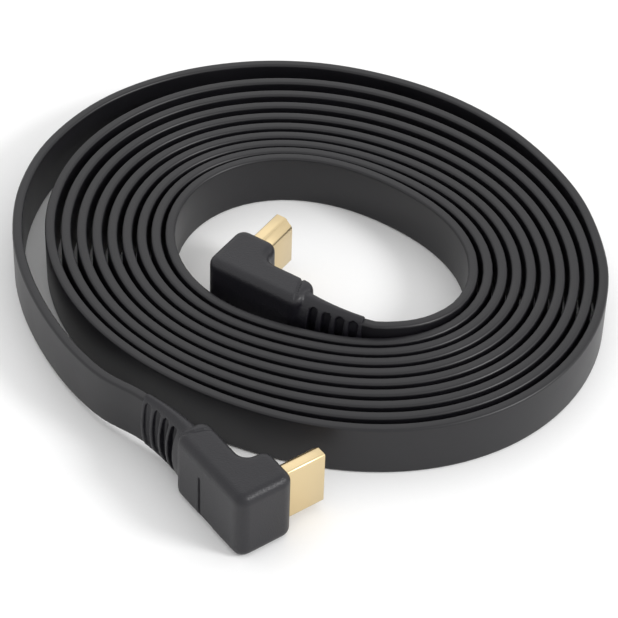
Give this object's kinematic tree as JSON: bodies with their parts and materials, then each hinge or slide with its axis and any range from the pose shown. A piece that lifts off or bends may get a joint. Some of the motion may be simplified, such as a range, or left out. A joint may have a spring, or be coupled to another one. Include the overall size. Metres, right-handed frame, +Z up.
{
  "type": "hdmi cable",
  "caption": "Flat black HDMI cable coiled on edge in an oval spiral, with a right-angle plug at each end.",
  "frame": {"origin": "on the floor, under the middle of the whole outline", "axes": "+Z up out of the coil, +Y away from the front plug along the longest side, +X to the right seen from the front plug's side"},
  "size_m": [0.1352, 0.1514, 0.0178],
  "materials": {
    "cable_jacket": "satin soft PVC",
    "overmould": "finely grained",
    "gold_plate": "gold plated, satin",
    "contact_carrier": "matt"
  },
  "bodies": {
    "root": {"cable_coil": "cable_jacket", "cable_outer_run": "cable_jacket", "cable_inner_run": "cable_jacket", "front_plug_overmould": "overmould", "front_plug_shell": "gold_plate", "front_plug_contact_carrier": "contact_carrier", "inner_plug_overmould": "overmould", "inner_plug_shell": "gold_plate", "inner_plug_contact_carrier": "contact_carrier"}
  },
  "joints": []
}
